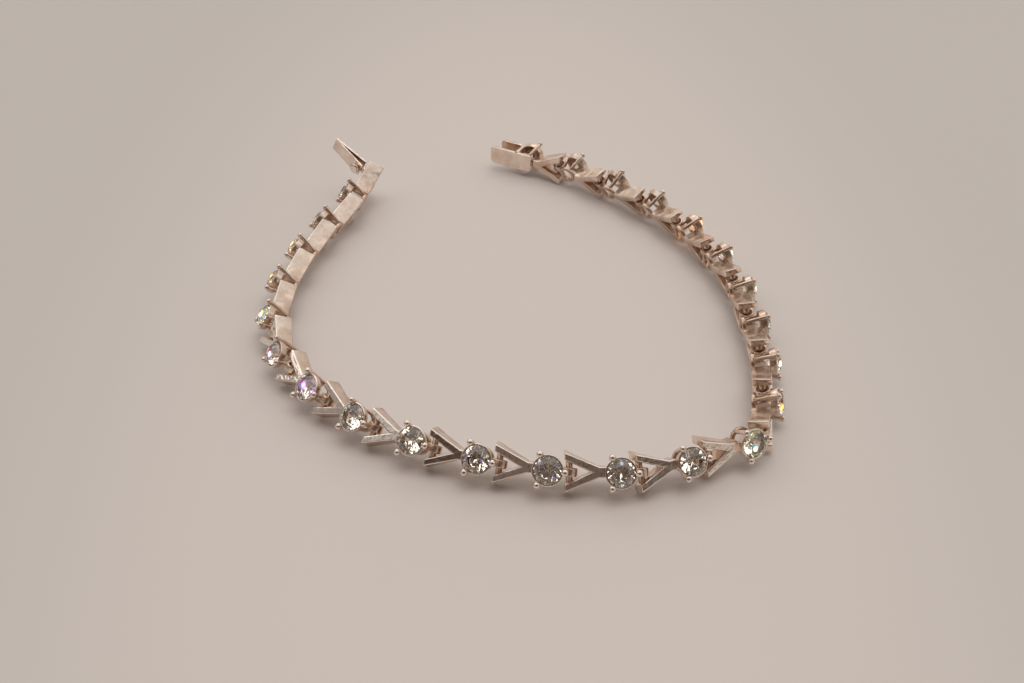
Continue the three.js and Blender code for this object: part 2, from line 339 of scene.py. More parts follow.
def mesh_of(edit, name, recess_shade_at, front_at=None):
    """Closes a bmesh into a mesh with its painted shade in the hollows and its polished fronts marked
    on it.
    """
    bmesh.ops.recalc_face_normals(edit, faces=edit.faces)
    mesh = bpy.data.meshes.new(name)
    edit.to_mesh(mesh)
    edit.free()
    # How deep in a hollow each point lies: it is drawn browner there, a painted shade
    recess_shading = mesh.attributes.new("recess", "FLOAT", "POINT")
    for vertex, value in zip(mesh.vertices, recess_shading.data):
        value.value = recess_shade_at(vertex.co)
    fronts = mesh.attributes.new("front", "BOOLEAN", "FACE")
    for polygon, value in zip(mesh.polygons, fronts.data):
        value.value = bool(front_at and front_at(polygon))
    return mesh


def nearness(distance, reach):
    """1 at no distance, falling evenly to 0 at the reach."""
    return max(0.0, 1.0 - abs(distance) / reach)


def arms_recess_shade(co):
    """Painted shade between the arms, darker towards the back, and a little beside the setting."""
    between = nearness(co.z, 1.2) * nearness(co.x - 1.7, 2.2)
    behind = max(0.0, (co.y + 0.4) / 1.5)
    by_setting = max(0.0, (co.x - 3.1) / 0.9)
    return min(1.0, 0.35 * between * behind + 0.1 * by_setting)


def arms_mesh():
    """The V in a link's own frame: X along the chain, Y into the loop, Z across the band."""
    free_end = -ARM_OVERHANG
    half_spread = ARM_FRONT_SPREAD / 2
    half_stem = STEM_WIDTH / 2
    stem_start = CROTCH_REACH + ARM_WIDTH
    stem_end = STONE_X - SEAT_RADIUS + SEAT_WALL
    shoulder = free_end + SHOULDER_LENGTH
    slope = (half_spread - half_stem) / (stem_start - free_end)
    at_shoulder = half_spread - slope * SHOULDER_LENGTH
    inner = half_spread - ARM_WIDTH

    def outline(draft_end, draft_shoulder):
        return [
            (free_end, half_spread + draft_end),
            (shoulder, at_shoulder + draft_shoulder),
            (stem_start, half_stem),
            (stem_end, half_stem),
            (stem_end, -half_stem),
            (stem_start, -half_stem),
            (shoulder, -at_shoulder - draft_shoulder),
            (free_end, -half_spread - draft_end),
            (free_end, -inner),
            (CROTCH_REACH, 0.0),
            (free_end, inner),
        ]

    edit = bmesh.new()
    front = [edit.verts.new((x, -half_depth, z)) for x, z in outline(0, 0)]
    back = [
        edit.verts.new((x, half_depth, z)) for x, z in outline(SIDE_DRAFT, SHOULDER_DRAFT)
    ]
    for ring in (front, back):
        for corners in ((0, 1, 2, 9, 10), (2, 3, 4, 5, 9), (5, 6, 7, 8, 9)):
            edit.faces.new([ring[c] for c in corners])
    count = len(front)
    for i in range(count):
        j = (i + 1) % count
        edit.faces.new((front[i], front[j], back[j], back[i]))
    ease_edges(edit, sharp_edges(edit), ARM_EDGE_ROUND, clamped=True)
    # The front and back are flat, and the sides swell softly between their rounded edges
    for side in edit.faces:
        side.smooth = abs(side.normal.y) < 0.9
    return mesh_of(edit, "arms", arms_recess_shade, lambda polygon: polygon.normal.y < -0.25)


arms = along_chain("link_arms", arms_mesh(), satin_plate, polished_plate, 3)
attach(arms, "chain")
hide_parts(*[f"link_{n:02d}" for n in range(1, 25)])

# Cross bars.
# A round wire is soldered between the free ends of each V, a little behind the front. The next
# knuckle turns on it. It is satin, and drawn a little brown all over, a painted shade for its place
# between the arms.
BAR_DIAMETER = 0.7
BAR_SIDES = 16
# How much painted shade the whole bar is given
BAR_RECESS_SHADE = 0.25
ON_AXIS = 1e-6


def lathe(profile, sides, axis="Y"):
    """A closed turned shape from (radius, height) points about an axis through the origin.

    A profile that starts off the axis is closed on itself and gives a ring.
    """
    edit = bmesh.new()
    rings = []
    for radius, height in profile:
        if radius < ON_AXIS:
            rings.append([edit.verts.new((0, height, 0))])
            continue
        angles = [2 * math.pi * i / sides for i in range(sides)]
        rings.append([
            edit.verts.new((radius * math.cos(a), height, radius * math.sin(a))) for a in angles
        ])
    following = rings[1:] + rings[:1] if profile[0][0] > ON_AXIS else rings[1:]
    for a, b in zip(rings, following):
        for i in range(sides):
            j = (i + 1) % sides
            corners = [a[i % len(a)], a[j % len(a)], b[j % len(b)], b[i % len(b)]]
            corners = list(dict.fromkeys(corners))
            if len(corners) > 2:
                edit.faces.new(corners)
    if axis == "Z":
        upright = Matrix.Rotation(math.pi / 2, 3, "X")
        bmesh.ops.rotate(edit, verts=edit.verts, cent=(0, 0, 0), matrix=upright)
    bmesh.ops.recalc_face_normals(edit, faces=edit.faces)
    return edit


bar_reach = (ARM_FRONT_SPREAD - ARM_WIDTH) / 2
bar_radius = BAR_DIAMETER / 2
bar_edit = lathe(
    [(0, -bar_reach), (bar_radius, -bar_reach), (bar_radius, bar_reach), (0, bar_reach)],
    BAR_SIDES, "Z",
)
for bar_face in bar_edit.faces:
    bar_face.smooth = len(bar_face.verts) == 4
bar_mesh = mesh_of(bar_edit, "cross_bar", lambda co: BAR_RECESS_SHADE)
bars = along_chain("link_cross_bars", bar_mesh, satin_plate, satin_plate, 5)
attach(bars, "chain")

# Claw settings.
# Each stone sits in an open basket: a base ring at the back, a seat ring under the girdle, and
# three tapered claws soldered to both, whose ball tips are pressed down on the stone's edge.
STONE_RADIUS = 1.425
CROWN_HEIGHT = 0.42
GIRDLE_HEIGHT = 0.1
PAVILION_HEIGHT = 1.15
TABLE_STAND = 1.2
SEAT_HEIGHT = 0.75
SEAT_SIDES = 40
SEAT_EDGE_ROUND = 0.05
SEAT_LIP_DIP = 0.04
SEAT_FOOT_WALL = 0.02
BASE_RING_OUTER = 1.25
BASE_RING_WALL = 0.45
BASE_RING_HEIGHT = 0.5
BASE_RING_SIDES = 32
BASE_RING_ROUND = 0.16
CLAW_COUNT = 3
CLAW_SIDES = 10
CLAW_STEPS = 8
CLAW_DIAMETER = 0.5
CLAW_FOOT_SHARE = 0.9
CLAW_SWELL = 0.15
CLAW_TIP_DIAMETER = 0.72
CLAW_TIP_FLATTENED = 0.85
# How far the claw's bend and its tip stand out from the inside of the seat, and how far behind and
# before the girdle they lie
CLAW_KNEE_OUT, CLAW_KNEE_BEHIND = 0.3, 0.6
CLAW_TIP_OUT, CLAW_TIP_BEFORE = 0.32, 0.12
table_y = -(half_depth + TABLE_STAND)
girdle_y = table_y + CROWN_HEIGHT


def rounded_profile(corners, radius, steps=3):
    """The corners of a closed profile, each rounded off by short chords."""
    points = []
    for i, corner in enumerate(corners):
        here = Vector(corner)
        back = Vector(corners[i - 1]) - here
        on = Vector(corners[(i + 1) % len(corners)]) - here
        room = min(radius, back.length / 2.2, on.length / 2.2)
        before, after = back.normalized(), on.normalized()
        for k in range(steps + 1):
            t = k / steps
            point = here + before * room * (1 - t) ** 2 + after * room * t ** 2
            points.append((point.x, point.y))
    return points


def smooth_all(edit):
    for each in edit.faces:
        each.smooth = True
    return edit


def add_part(edit, part):
    """Adds a finished part to a shape."""
    part_mesh = bpy.data.meshes.new("part")
    part.to_mesh(part_mesh)
    part.free()
    edit.from_mesh(part_mesh)
    bpy.data.meshes.remove(part_mesh)


def claw_mesh():
    """One claw about the stone's axis at angle 0, from the base ring to its ball tip."""
    foot = Vector((BASE_RING_OUTER - CLAW_DIAMETER / 2, half_depth - BASE_RING_HEIGHT / 2, 0))
    knee = Vector((SEAT_RADIUS + CLAW_KNEE_OUT, girdle_y + CLAW_KNEE_BEHIND, 0))
    tip = Vector((SEAT_RADIUS + CLAW_TIP_OUT, girdle_y - CLAW_TIP_BEFORE, 0))
    shares = [k / CLAW_STEPS for k in range(CLAW_STEPS + 1)]
    path = [foot * (1 - t) ** 2 + knee * 2 * t * (1 - t) + tip * t ** 2 for t in shares]
    across = Vector((0, 0, 1))
    edit = bmesh.new()
    rings = []
    for k, point in enumerate(path):
        radius = CLAW_DIAMETER / 2 * (CLAW_FOOT_SHARE + CLAW_SWELL * shares[k])
        ahead = path[min(k + 1, CLAW_STEPS)] - path[max(k - 1, 0)]
        up = ahead.normalized().cross(across)
        angles = [2 * math.pi * i / CLAW_SIDES for i in range(CLAW_SIDES)]
        rings.append([
            edit.verts.new(point + (up * math.cos(a) + across * math.sin(a)) * radius)
            for a in angles
        ])
    for a, b in zip(rings, rings[1:]):
        for i in range(CLAW_SIDES):
            j = (i + 1) % CLAW_SIDES
            edit.faces.new((a[i], a[j], b[j], b[i]))
    edit.faces.new(rings[0][::-1])
    edit.faces.new(rings[-1])
    ball = bmesh.ops.create_icosphere(edit, subdivisions=3, radius=CLAW_TIP_DIAMETER / 2)["verts"]
    bmesh.ops.scale(edit, vec=(1, CLAW_TIP_FLATTENED, 1), verts=ball)
    bmesh.ops.translate(edit, vec=tip, verts=ball)
    mesh = bpy.data.meshes.new("claw")
    smooth_all(edit).to_mesh(mesh)
    edit.free()
    return mesh


# The tree that sets the claws round the stone's axis
claw_tree, claw_inputs, given = start_tree("claws_round_the_stone", {
    "Centre": "Geometry",
    "Claw": "Object",
    "Claws": "Int",
    "Finish": "Material",
}, "Claw ring")
pattern = add_node(claw_tree, "GeometryNodeObjectInfo", links={"Object": given["Claw"]})
spread = add_node(claw_tree, "GeometryNodeMeshLine", {"mode": "OFFSET"}, {
    "Count": given["Claws"], "Offset": (0.0, 0.0, 0.0),
})
order = add_node(claw_tree, "GeometryNodeInputIndex")
share = add_node(claw_tree, "ShaderNodeMath", {"operation": "DIVIDE"}, {
    0: order.outputs[0], 1: given["Claws"],
})
angle = add_node(claw_tree, "ShaderNodeMath", {"operation": "MULTIPLY"}, {
    0: share.outputs[0], 1: 2 * math.pi,
})
about = add_node(claw_tree, "ShaderNodeCombineXYZ", links={"Y": angle.outputs[0]})
ring_of_claws = add_node(claw_tree, "GeometryNodeInstanceOnPoints", links={
    "Points": spread.outputs["Mesh"],
    "Instance": pattern.outputs["Geometry"],
    "Rotation": about.outputs[0],
})
real = add_node(claw_tree, "GeometryNodeRealizeInstances", links={
    "Geometry": ring_of_claws.outputs["Instances"],
})
coated = add_node(claw_tree, "GeometryNodeSetMaterial", links={
    "Geometry": real.outputs["Geometry"], "Material": given["Finish"],
})
add_node(claw_tree, "NodeGroupOutput", links={"Claw ring": coated.outputs["Geometry"]})

claw = place_object("claw_pattern", claw_mesh())
claw_ring = place_object("claw_ring", bpy.data.meshes.new("claw_ring"))
run_tree(claw_ring, claw_tree, claw_inputs, {
    "Claw": claw, "Claws": CLAW_COUNT, "Finish": satin_plate,
})

base_inner = BASE_RING_OUTER - BASE_RING_WALL
base_front = half_depth - BASE_RING_HEIGHT
base_ring = smooth_all(lathe(rounded_profile([
    (base_inner, base_front), (BASE_RING_OUTER, base_front),
    (BASE_RING_OUTER, half_depth), (base_inner, half_depth),
], BASE_RING_ROUND), BASE_RING_SIDES))
seat_top = girdle_y + GIRDLE_HEIGHT
seat_bottom = seat_top + SEAT_HEIGHT
narrowing = SEAT_HEIGHT * STONE_RADIUS / PAVILION_HEIGHT
seat_ring = smooth_all(lathe(rounded_profile([
    (SEAT_RADIUS, seat_top - SEAT_LIP_DIP), (SEAT_RADIUS + SEAT_WALL, seat_top),
    (SEAT_RADIUS + SEAT_FOOT_WALL, seat_bottom), (SEAT_RADIUS - narrowing, seat_bottom),
], SEAT_EDGE_ROUND), SEAT_SIDES))
setting_edit = bmesh.new()
add_part(setting_edit, base_ring)
add_part(setting_edit, seat_ring)
setting_edit.from_mesh(claw_ring.data)
bmesh.ops.translate(setting_edit, vec=(STONE_X, 0, 0), verts=setting_edit.verts)
bpy.data.objects.remove(claw)
bpy.data.objects.remove(claw_ring)


def setting_recess_shade(co):
    """Painted shade: the basket is drawn browner towards its back, and most of all in its hollow
    under the stone.
    """
    depth = (co.y - table_y) / (half_depth - table_y)
    inside = nearness(math.hypot(co.x - STONE_X, co.z), 1.5)
    return min(1.0, 0.05 + 0.3 * max(0.0, depth - 0.25) + 0.7 * inside)


def is_polished(polygon):
    """The seat's lip and the fronts of the claw tips are polished with the stone in place."""
    return polygon.center.y < seat_top and polygon.normal.y < -0.5


setting_mesh = mesh_of(setting_edit, "setting", setting_recess_shade, is_polished)
settings = along_chain("claw_settings", setting_mesh, satin_plate, polished_plate, 7)
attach(settings, "chain")

# Knuckles.
# Beyond the setting each link ends in a cast eye that is closed round the next link's bar. Its
# outside is tumbled round, and the gap round the bar is drawn dark, a painted shade.
EYE_RADIUS = 0.55
EYE_SIDES = 28
KNUCKLE_WALL = 0.3
KNUCKLE_WIDTH = 0.85
KNUCKLE_ROUND = 0.28
knuckle_outer = EYE_RADIUS + KNUCKLE_WALL
half_width = KNUCKLE_WIDTH / 2
eye_profile = [
    (EYE_RADIUS, -half_width), (knuckle_outer, -half_width),
    (knuckle_outer, half_width), (EYE_RADIUS, half_width),
]
knuckle_edit = smooth_all(
    lathe(rounded_profile(eye_profile, KNUCKLE_ROUND, 4), EYE_SIDES, "Z")
)
bmesh.ops.translate(knuckle_edit, vec=(PITCH, 0, 0), verts=knuckle_edit.verts)


def knuckle_recess_shade(co):
    """Painted shade: the bore is drawn brown, and the outside only a little."""
    from_bar = math.hypot(co.x - PITCH, co.y)
    return 0.5 if from_bar < EYE_RADIUS + 0.06 else 0.08


knuckles = along_chain(
    "link_knuckles", mesh_of(knuckle_edit, "knuckle", knuckle_recess_shade), satin_plate,
    satin_plate, 9, skip=(len(ROUTE) - 1,),
)
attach(knuckles, "chain")

# Stones.
# Round clear stones of a synthetic gem, cut as brilliants and polished: a table, a crown of stars,
# kites and halves, a thin girdle, and a pavilion that ends in a point behind.
TABLE_SHARE = 0.56
STAR_SHARE = 0.8
LOWER_SHARE = 0.26
MAINS = 8
culet_y = girdle_y + GIRDLE_HEIGHT + PAVILION_HEIGHT


def stone_mesh():
    """One brilliant in a link's own frame, with its table to the front."""
    main =2 * math.pi / MAINS
    half_main = math.cos(main / 2)
    star_drop = (STAR_SHARE * half_main - TABLE_SHARE) / (1 - TABLE_SHARE)
    star_y = table_y + star_drop * CROWN_HEIGHT
    lower_y = culet_y - LOWER_SHARE * half_main * PAVILION_HEIGHT
    edge = 2 * MAINS
    edit = bmesh.new()

    def point(share, angle, y):
        radius = share * STONE_RADIUS
        return edit.verts.new((STONE_X + radius * math.cos(angle), y, radius * math.sin(angle)))

    table = [point(TABLE_SHARE, k * main, table_y) for k in range(MAINS)]
    star = [point(STAR_SHARE, (k + 0.5) * main, star_y) for k in range(MAINS)]
    top = [point(1, k * main / 2, girdle_y) for k in range(edge)]
    bottom = [point(1, k * main / 2, girdle_y + GIRDLE_HEIGHT) for k in range(edge)]
    lower = [point(LOWER_SHARE, (k + 0.5) * main, lower_y) for k in range(MAINS)]
    culet = point(0, 0, culet_y)
    edit.faces.new(table)
    for k in range(MAINS):
        left, middle, right = 2 * k, 2 * k + 1, (2 * k + 2) % edge
        edit.faces.new((table[k], table[(k + 1) % MAINS], star[k]))
        edit.faces.new((table[k], star[k], top[left], star[k - 1]))
        edit.faces.new((star[k], top[left], top[middle]))
        edit.faces.new((star[k], top[middle], top[right]))
        edit.faces.new((bottom[left], bottom[middle], lower[k]))
        edit.faces.new((bottom[middle], bottom[right], lower[k]))
        edit.faces.new((culet, lower[k - 1], bottom[left], lower[k]))
    for k in range(edge):
        n = (k + 1) % edge
        edit.faces.new((top[k], top[n], bottom[n], bottom[k]))
    return mesh_of(edit, "stone", lambda co: 0.0)


# Cubic zirconia, cut and polished: clear with a faint warm grey, bending light so strongly that some
# facets flash and others go dark. Its coloured fire is painted on as small spots that glow by
# themselves.
FLASH_STRENGTH = 4.0
FLASH_SPREAD = 0.2
gem, tree, shader = start_material("cut_clear_zirconia")
shader.inputs["Base Color"].default_value = linear("#f3ecdf")
shader.inputs["Roughness"].default_value = 0.0
shader.inputs["IOR"].default_value = 2.0
shader.inputs["Transmission Weight"].default_value = 1.0
# A painted flash is a spot well under a millimetre across that glows by itself and turns from one
# colour to another over its height
here = add_node(tree, "ShaderNodeTexCoord").outputs["Object"]
place = add_node(tree, "ShaderNodeAttribute", {"attribute_name": "flash_place"})
reach = add_node(tree, "ShaderNodeAttribute", {"attribute_name": "flash_reach"})
upper = add_node(tree, "ShaderNodeAttribute", {"attribute_name": "flash_upper"})
lower = add_node(tree, "ShaderNodeAttribute", {"attribute_name": "flash_lower"})
offset = add_node(tree, "ShaderNodeVectorMath", {"operation": "SUBTRACT"}, {
    0: here, 1: place.outputs["Vector"],
})
away = add_node(tree, "ShaderNodeVectorMath", {"operation": "LENGTH"}, {
    0: offset.outputs["Vector"],
})
flash = add_node(tree, "ShaderNodeMapRange", {"interpolation_type": "SMOOTHSTEP"}, {
    "Value": away.outputs["Value"], "From Min": reach.outputs["Fac"], "From Max": 0.0,
    "To Max": FLASH_STRENGTH,
})
height = add_node(tree, "ShaderNodeSeparateXYZ", links={"Vector": offset.outputs["Vector"]})
turn = add_node(tree, "ShaderNodeMapRange", links={
    "Value": height.outputs["Z"], "From Min": FLASH_SPREAD * MM, "From Max": -FLASH_SPREAD * MM,
})
rainbow = add_node(tree, "ShaderNodeMix", {"data_type": "RGBA"}, {
    "Factor": turn.outputs["Result"], 6: upper.outputs["Color"], 7: lower.outputs["Color"],
})
tree.links.new(rainbow.outputs[2], shader.inputs["Emission Color"])
tree.links.new(flash.outputs["Result"], shader.inputs["Emission Strength"])

stones = along_chain("stones", stone_mesh(), gem, gem, 11)
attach(stones, "chain")
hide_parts(*[f"stone_{n:02d}" for n in range(1, 25)])

# The painted flashes, spots that glow on the stones: stone number, then the flash's place along the
# chain, behind the table and across the band and its reach, its strength, and its upper and lower
# colours
PAINTED_FLASHES = {
    3: (0.3, 0.0, 0.6, 0.5, 1.5, "#ffe04a", "#ffd9c0"),
    4: (0.3, 0.0, 0.6, 0.45, 1.5, "#ff9a50", "#ffe63c"),
    5: (0.3, 0.0, 0.3, 0.62, 1.8, "#e8ff50", "#1080ff"),
    6: (0.1, 0.0, -0.2, 0.5, 1.7, "#ffb0a8", "#1078ff"),
    7: (0.0, 0.0, 0.1, 0.5, 1.7, "#ff68e8", "#1850ff"),
    9: (1.0, 0.0, -0.2, 0.24, 0.7, "#ffb050", "#ffb050"),
    10: (-1.0, 0.0, 0.0, 0.2, 0.6, "#4060ff", "#4060ff"),
    11: (0.8, 0.0, -0.6, 0.2, 0.6, "#3f70ff", "#3f70ff"),
    12: (0.0, 0.0, 1.1, 0.36, 0.3, "#e8f4ff", "#c8e4ff"),
    14: (-0.4, 0.0, -0.25, 0.4, 0.8, "#60e0ff", "#f8ff40"),
    15: (-0.9, 0.3, 0.1, 0.5, 1.4, "#ff9828", "#ffb850"),
    16: (-0.8, 0.2, 0.3, 0.5, 1.6, "#ffe9c0", "#a8d0ff"),
    18: (-0.7, 0.1, 0.3, 0.45, 1.0, "#90ff78", "#ffd8a0"),
    19: (-0.5, 0.1, 0.4, 0.6, 2.0, "#d0ffb0", "#ffb0ff"),
    20: (-0.3, 0.1, 0.7, 0.85, 2.8, "#ff7a20", "#ffa82c"),
}
NO_PAINTED_FLASH = (0, 0, 0, 0, 0, "#000000", "#000000")
marks = stones.data.attributes
for name, kind in {
    "flash_place": "FLOAT_VECTOR",
    "flash_reach": "FLOAT",
    "flash_upper": "FLOAT_COLOR",
    "flash_lower": "FLOAT_COLOR",
}.items():
    marks.new(name, kind, "FACE")
per_stone = len(stones.data.polygons) // len(places)
# Each stone's faces carry where its painted flash glows, how far, and in what colours
for number, place in enumerate(places, 1):
    along, behind, across, reach, strength, upper, lower = PAINTED_FLASHES.get(number, NO_PAINTED_FLASH)
    upper, lower = (Vector(linear(colour)) * strength for colour in (upper, lower))
    spot = place @ (Vector((STONE_X + along, table_y + behind, across)) * MM)
    for index in range((number - 1) * per_stone, number * per_stone):
        marks["flash_place"].data[index].vector = spot
        marks["flash_reach"].data[index].value = reach * MM
        marks["flash_upper"].data[index].color = upper
        marks["flash_lower"].data[index].color = lower

# Box of the clasp.
# Two plates of plated sheet joined by a bridge beside the last setting and open at the far end,
# where the tongue snaps in. The back plate carries the setting, and the front one is shorter.
BOX_REACH = 5.3
BOX_DEPTH = 2.8
BOX_WIDTH = 2.5
BOX_FRONT_SHORTER = 0.5
BOX_WALL = 0.45
BOX_BRIDGE = 0.5
BOX_EDGE_ROUND = 0.09
BOX_CORNER = 0.4
BOX_BACK_OVERLAP = 1.15
# How far the bridge reaches into the base ring, how far on from there the front plate starts, and
# how far short of the back the bridge ends
BRIDGE_SEAT = 0.23
FRONT_PLATE_START = 0.46
BRIDGE_INSET = 0.02
CORNER_STEPS = 5


def bevelled_block(edit, low, high, radius):
    """A block with eased edges between two opposite corners."""
    made = bmesh.ops.create_cube(edit, size=1.0)["verts"]
    low, high = Vector(low), Vector(high)
    bmesh.ops.scale(edit, vec=high - low, verts=made)
    bmesh.ops.translate(edit, vec=(low + high) / 2, verts=made)
    ease_edges(edit, list({e for v in made for e in v.link_edges}), radius)


def rounded_plate(edit, low, high, corner, edge_round):
    """A flat plate whose corners are rounded across its width and whose edges are eased."""
    outline = []
    for middle_x, middle_z, first in [
        (high[0] - corner, high[2] - corner, 0), (low[0] + corner, high[2] - corner, 90),
        (low[0] + corner, low[2] + corner, 180), (high[0] - corner, low[2] + corner, 270),
    ]:
        for step in range(CORNER_STEPS + 1):
            a = math.radians(first + 90 // CORNER_STEPS * step)
            outline.append((middle_x + corner * math.cos(a), middle_z + corner * math.sin(a)))
    rings = [[edit.verts.new((x, y, z)) for x, z in outline] for y in (low[1], high[1])]
    count = len(outline)
    ends = [edit.faces.new(ring) for ring in rings]
    for i in range(count):
        j = (i + 1) % count
        wall = edit.faces.new((rings[0][i], rings[0][j], rings[1][j], rings[1][i]))
        wall.smooth = True
    for eased in ease_edges(edit, [e for end in ends for e in end.edges], edge_round):
        eased.smooth = True


bridge_start = STONE_X + BASE_RING_OUTER - BRIDGE_SEAT
box_end = STONE_X + BOX_REACH
box_half = BOX_DEPTH / 2
across = BOX_WIDTH / 2
box_edit = bmesh.new()
rounded_plate(
    box_edit, (STONE_X - BOX_BACK_OVERLAP, box_half - BOX_WALL, -across),
    (box_end, box_half, across), BOX_CORNER, BOX_EDGE_ROUND,
)
rounded_plate(
    box_edit, (bridge_start + FRONT_PLATE_START, -box_half, -across),
    (box_end - BOX_FRONT_SHORTER, -box_half + BOX_WALL, across), BOX_CORNER, BOX_EDGE_ROUND,
)
bevelled_block(
    box_edit, (bridge_start, -box_half + BOX_WALL / 2, -across),
    (bridge_start + BOX_BRIDGE, box_half - BRIDGE_INSET, across), BOX_EDGE_ROUND,
)


def box_recess_shade(co):
    """Painted shade: the inner sides of the two plates are drawn brown, and the rest only a little.
    """
    return 0.5 if abs(co.y) < box_half - BOX_WALL + 0.05 else 0.05


box_mesh = mesh_of(box_edit, "clasp_box", box_recess_shade)
box_mesh.materials.append(satin_plate)
box_mesh.transform(places[-1] @ Matrix.Scale(MM, 4))
box = place_object("clasp_box", box_mesh)
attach(box, "chain")

# Tongue of the clasp.
# A strip of springy plated sheet folded back on itself, with a thumb knob riveted to the upper
# leaf. Its eye is closed round the first link's cross bar, and it hangs open to the side.
TONGUE_LENGTH = 5.2
TONGUE_SHIFT = 0.75
TONGUE_CLEARANCE = 0.2
TONGUE_WIDTH = 1.9
TONGUE_THICKNESS = 0.4
TONGUE_EDGE_ROUND = 0.07
SPRING_RISE = 1.1
NECK_EDGE_ROUND = 0.06
EYE_EDGE_ROUND = 0.1
KNOB_DIAMETER = 1.4
KNOB_SIDES = 28
# The knob from its foot to its crown: shares of its radius, and rises above the upper leaf
KNOB_PROFILE = [
    (0.72, 0.05), (0.94, 0.12), (1.0, 0.22), (0.9, 0.34), (0.5, 0.38), (0.0, 0.4),
]
KNOB_FOOT_SHARE = 0.7
TONGUE_OPEN_ANGLE = 78
tongue_start = -ARM_OVERHANG - half_depth + TONGUE_CLEARANCE
tongue_end = tongue_start - TONGUE_LENGTH
half_thick = TONGUE_THICKNESS / 2
leaf_top = -half_thick - SPRING_RISE
strip = [
    (tongue_start, half_thick), (tongue_end, half_thick), (tongue_end, -half_thick),
    (tongue_start, leaf_top), (tongue_start, leaf_top + TONGUE_THICKNESS),
    (tongue_end + 3 * TONGUE_THICKNESS, -half_thick), (tongue_start, -half_thick),
]
tongue_edit = bmesh.new()
sides = [
    [tongue_edit.verts.new((x, y, TONGUE_SHIFT + way * TONGUE_WIDTH / 2)) for x, y in strip]
    for way in (-1, 1)
]
for ring in sides:
    for corners in ((0, 1, 2, 5, 6), (2, 3, 4, 5)):
        tongue_edit.faces.new([ring[c] for c in corners])
for i in range(len(strip)):
    j = (i + 1) % len(strip)
    tongue_edit.faces.new((sides[0][i], sides[0][j], sides[1][j], sides[1][i]))
ease_edges(tongue_edit, sharp_edges(tongue_edit), TONGUE_EDGE_ROUND)
bevelled_block(
    tongue_edit, (tongue_start - TONGUE_THICKNESS, -half_thick, -half_width),
    (-EYE_RADIUS - KNUCKLE_WALL / 2, half_thick, half_width), NECK_EDGE_ROUND,
)
knob_radius = KNOB_DIAMETER / 2
knob_foot = leaf_top + TONGUE_THICKNESS / 2
knob_edit = smooth_all(lathe([
    (0, knob_foot), (knob_radius * KNOB_FOOT_SHARE, knob_foot),
    *[(knob_radius * share, leaf_top - rise) for share, rise in KNOB_PROFILE],
], KNOB_SIDES))
knob_place = (tongue_start - knob_radius, 0, TONGUE_SHIFT)
bmesh.ops.translate(knob_edit, vec=knob_place, verts=knob_edit.verts)
eye_edit = smooth_all(lathe(rounded_profile(eye_profile, EYE_EDGE_ROUND), EYE_SIDES, "Z"))
add_part(tongue_edit, knob_edit)
add_part(tongue_edit, eye_edit)


def tongue_recess_shade(co):
    """Painted shade: the fold between the two leaves is drawn brown, and the rest only a little."""
    fold = leaf_top + TONGUE_THICKNESS * 0.4 < co.y < -half_thick + 0.02
    return 0.2 if fold and co.x > tongue_end + 1.0 else 0.05


tongue_mesh = mesh_of(tongue_edit, "clasp_tongue_strip", tongue_recess_shade)
tongue_mesh.materials.append(satin_plate)
tongue_mesh.transform(
    places[0] @ Matrix.Rotation(math.radians(TONGUE_OPEN_ANGLE), 4, "Z") @ Matrix.Scale(MM, 4)
)
tongue = place_object("clasp_tongue_strip", tongue_mesh)
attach(tongue, "tongue")
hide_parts("clasp_tongue")

# Table.
# A wide sheet of matt card under the bracelet, a pale pinkish beige, drawn greyer outwards as a
# painted fall-off of the light so that it fades evenly into the background.
SHEET_HALF_M = 1.2
table_edit = bmesh.new()
bmesh.ops.create_grid(table_edit, x_segments=1, y_segments=1, size=SHEET_HALF_M)
table_sheet = bpy.data.meshes.new("table_sheet")
table_edit.to_mesh(table_sheet)
table_edit.free()
sheet = place_object("table_sheet", table_sheet)
# Coated card, matt: no texture shows at this distance, only an even colour, drawn greyer outwards as
# a painted fall-off of the light
card, tree, shader = start_material("matt_card")
spread = add_node(tree, "ShaderNodeMapping", links={
    "Vector": add_node(tree, "ShaderNodeTexCoord").outputs["Object"],
    "Location": (0.0, 0.012, 0.0),
    "Scale": (1.6, 0.6, 1.0),
})
from_middle = add_node(tree, "ShaderNodeVectorMath", {"operation": "LENGTH"}, {
    "Vector": spread.outputs["Vector"],
})
outwards = add_node(tree, "ShaderNodeMapRange", {"interpolation_type": "SMOOTHSTEP"}, {
    "Value": from_middle.outputs["Value"], "From Min": 0.03, "From Max": 0.11,
})
painted_light_falloff = add_node(tree, "ShaderNodeMix", {"data_type": "RGBA"}, {
    "Factor": outwards.outputs["Result"], 6: linear("#cec7c3"), 7: linear("#c0bcb8"),
})
tree.links.new(painted_light_falloff.outputs[2], shader.inputs["Base Color"])
shader.inputs["Roughness"].default_value = 0.75
shader.inputs["Specular IOR Level"].default_value = 0.2
table_sheet.materials.append(card)

# Light.
# A pale tent surrounds the bracelet. Its front, and part of its left, lets the dim room through, so
# the polished fronts of the links go dark. A large soft box overhead gives the soft shadows.
FRONT_WIDENED = (0.55, 1.0, 1.0)
FRONT_DIRECTION = (0.0, -0.78, 0.63)
world = bpy.data.worlds.new("tent_with_dim_front")
world.use_nodes = True
tree = world.node_tree
sky = tree.nodes["Background"]
direction = add_node(tree, "ShaderNodeTexCoord").outputs["Generated"]
parts = add_node(tree, "ShaderNodeSeparateXYZ", links={"Vector": direction}).outputs
